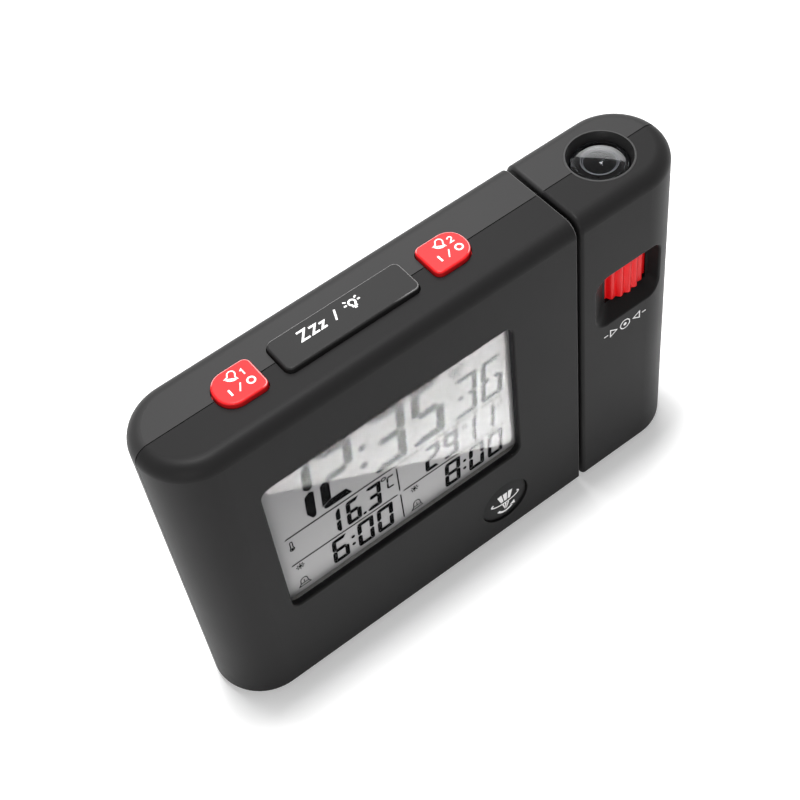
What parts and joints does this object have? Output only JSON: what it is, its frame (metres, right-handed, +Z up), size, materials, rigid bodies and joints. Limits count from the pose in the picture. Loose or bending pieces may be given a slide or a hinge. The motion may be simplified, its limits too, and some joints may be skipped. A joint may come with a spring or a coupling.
{
  "type": "projection alarm clock",
  "caption": "Slim black digital alarm clock with a large display, red alarm buttons, a snooze bar and a swivelling projector head with a lens and focus wheel.",
  "frame": {"origin": "middle of the clock's footprint, on the table under the feet", "axes": "+X to the viewer's right, the display faces -Y, +Z up"},
  "size_m": [0.14, 0.026, 0.0993],
  "materials": {
    "casing_black": "fine satin grain",
    "button_black": "satin",
    "button_red": "semi-gloss",
    "clear_window": "clear, polished",
    "display_glass": "polarised display",
    "strip_rubber": "soft",
    "white_plastic": "moulded",
    "board_green": "solder mask",
    "chip_black": "epoxy",
    "switch_plastic": "moulded",
    "steel": "plated",
    "ferrite": "sintered",
    "copper_wire": "enamelled",
    "cable_grey": "insulation",
    "cell_can": "wrapped",
    "foot_rubber": "soft",
    "hub_plastic": "moulded",
    "led_clear": "clear",
    "lens_clear": "polished"
  },
  "bodies": {
    "clock_body": {"front_casing": "casing_black", "rear_casing": "casing_black", "feet": "foot_rubber", "lcd_window": "clear_window", "lcd_panel": "display_glass", "zebra_strips": "strip_rubber", "backlight_plate": "white_plastic", "lcd_holder": "white_plastic", "main_board": "board_green", "board_screws": "steel", "controller_chip": "chip_black", "quartz_crystal": "steel", "key_switches": "switch_plastic", "key_board": "board_green", "setting_switches": "switch_plastic", "key_board_screws": "steel", "board_ribbon": "cable_grey", "antenna_rod": "ferrite", "antenna_coil": "copper_wire", "buzzer": "chip_black", "buzzer_leads": "cable_grey", "battery_cells": "cell_can", "battery_contacts": "steel", "battery_springs": "steel", "battery_leads": "cable_grey", "casing_screws": "steel", "cable_socket": "white_plastic"},
    "projector_head": {"head_front_shell": "casing_black", "head_rear_shell": "casing_black", "head_screws": "steel", "swivel_hub": "hub_plastic", "spring_washer": "steel", "head_cable": "cable_grey", "lens_ring": "casing_black", "projector_board": "board_green", "projector_led": "led_clear", "projector_tube": "hub_plastic", "condenser_lens": "lens_clear", "image_lcd": "display_glass"},
    "barrel": {"lens_barrel": "hub_plastic", "projection_lens": "lens_clear", "rear_lens": "lens_clear"},
    "alarm_button_1_body": {"alarm_button_1": "button_red"},
    "alarm_button_2_body": {"alarm_button_2": "button_red"},
    "snooze_bar_body": {"snooze_bar": "button_black"},
    "projection_button_body": {"projection_button": "button_black"},
    "mode_button_body": {"mode_button": "button_black"},
    "up_button_body": {"up_button": "button_black"},
    "down_button_body": {"down_button": "button_black"},
    "alarm_set_button_body": {"alarm_set_button": "button_black"},
    "wave_button_body": {"wave_button": "button_black"},
    "battery_door_body": {"battery_door": "casing_black"},
    "focus_wheel_body": {"focus_wheel": "button_red"}
  },
  "joints": [
    {"name": "head_swivel", "type": "hinge", "parent": "clock_body", "child": "projector_head", "pos_m": [0, 0, 0.05], "axis": [1, 0, 0], "range_deg": [-90, 90]},
    {"name": "focus_turn", "type": "hinge", "parent": "projector_head", "child": "focus_wheel_body", "pos_m": [0.05323, 0, 0], "axis": [0, 0, 1], "range_deg": [-120, 120]},
    {"name": "lens_focus", "type": "slide", "parent": "projector_head", "child": "barrel", "axis": [0, 0, 1], "range_m": [-0.001, 0.001]},
    {"name": "alarm_button_1_press", "type": "slide", "parent": "clock_body", "child": "alarm_button_1_body", "axis": [0, 0, -1], "range_m": [0, 0.0008], "stiffness_N_per_m": 1500, "springref_m": -0.0004},
    {"name": "alarm_button_2_press", "type": "slide", "parent": "clock_body", "child": "alarm_button_2_body", "axis": [0, 0, -1], "range_m": [0, 0.0008], "stiffness_N_per_m": 1500, "springref_m": -0.0004},
    {"name": "snooze_bar_press", "type": "slide", "parent": "clock_body", "child": "snooze_bar_body", "axis": [0, 0, -1], "range_m": [0, 0.0008], "stiffness_N_per_m": 1500, "springref_m": -0.0004},
    {"name": "projection_button_press", "type": "slide", "parent": "clock_body", "child": "projection_button_body", "axis": [0, 1, 0], "range_m": [0, 0.0008], "stiffness_N_per_m": 1500, "springref_m": -0.0004},
    {"name": "mode_button_press", "type": "slide", "parent": "clock_body", "child": "mode_button_body", "axis": [0, -1, 0], "range_m": [0, 0.0007], "stiffness_N_per_m": 1500, "springref_m": -0.0004},
    {"name": "up_button_press", "type": "slide", "parent": "clock_body", "child": "up_button_body", "axis": [0, -1, 0], "range_m": [0, 0.0007], "stiffness_N_per_m": 1500, "springref_m": -0.0004},
    {"name": "down_button_press", "type": "slide", "parent": "clock_body", "child": "down_button_body", "axis": [0, -1, 0], "range_m": [0, 0.0007], "stiffness_N_per_m": 1500, "springref_m": -0.0004},
    {"name": "alarm_set_button_press", "type": "slide", "parent": "clock_body", "child": "alarm_set_button_body", "axis": [0, -1, 0], "range_m": [0, 0.0007], "stiffness_N_per_m": 1500, "springref_m": -0.0004},
    {"name": "wave_button_press", "type": "slide", "parent": "clock_body", "child": "wave_button_body", "axis": [0, -1, 0], "range_m": [0, 0.0007], "stiffness_N_per_m": 1500, "springref_m": -0.0004},
    {"name": "battery_door_tilt", "type": "hinge", "parent": "clock_body", "child": "battery_door_body", "pos_m": [-0.01738, 0.0128, 0.0091], "axis": [-1, 0, 0], "range_deg": [0, 75]}
  ],
  "couplings": [
    {"joint": "focus_turn", "follows": "lens_focus", "rad_per_m": 2094}
  ]
}
